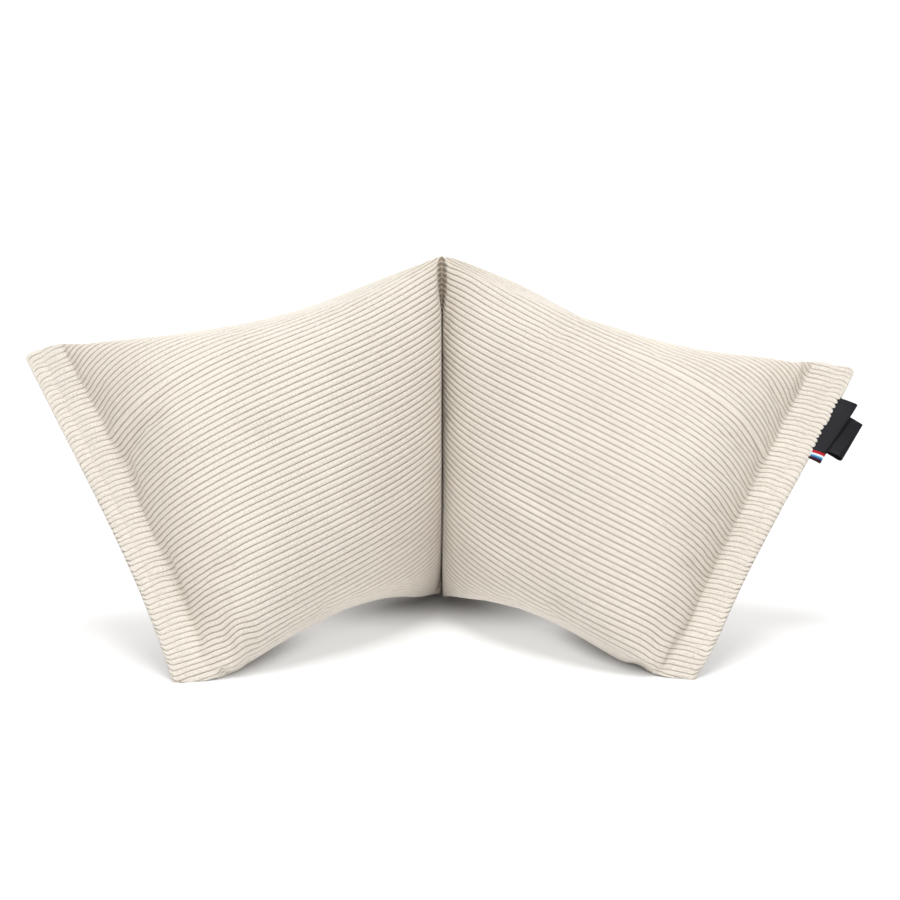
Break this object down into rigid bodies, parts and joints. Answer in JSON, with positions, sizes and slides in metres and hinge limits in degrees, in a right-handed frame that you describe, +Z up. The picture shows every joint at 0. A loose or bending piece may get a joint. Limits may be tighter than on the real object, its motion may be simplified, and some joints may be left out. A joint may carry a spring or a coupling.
{
  "type": "neck pillow",
  "caption": "Stuffed neck pillow of cream wide-rib cloth, sewn through at the middle, with flat hems at both ends, standing opened like a book.",
  "frame": {"origin": "foot of the centre seam, on the surface that the pillow stands on", "axes": "+X along the pillow to its right wing, +Z up, the two wings open towards -Y"},
  "size_m": [0.6752, 0.2639, 0.2982],
  "materials": {
    "cover_cloth": "wide-rib cotton cloth, matt, cream",
    "front_label_ribbon": "woven black ribbon with red, white and blue end stripes, slight sheen",
    "care_label_ribbon": "plain black satin ribbon"
  },
  "bodies": {
    "root": {"pillow_cover": "cover_cloth", "front_label": "front_label_ribbon", "care_label": "care_label_ribbon"}
  },
  "joints": []
}
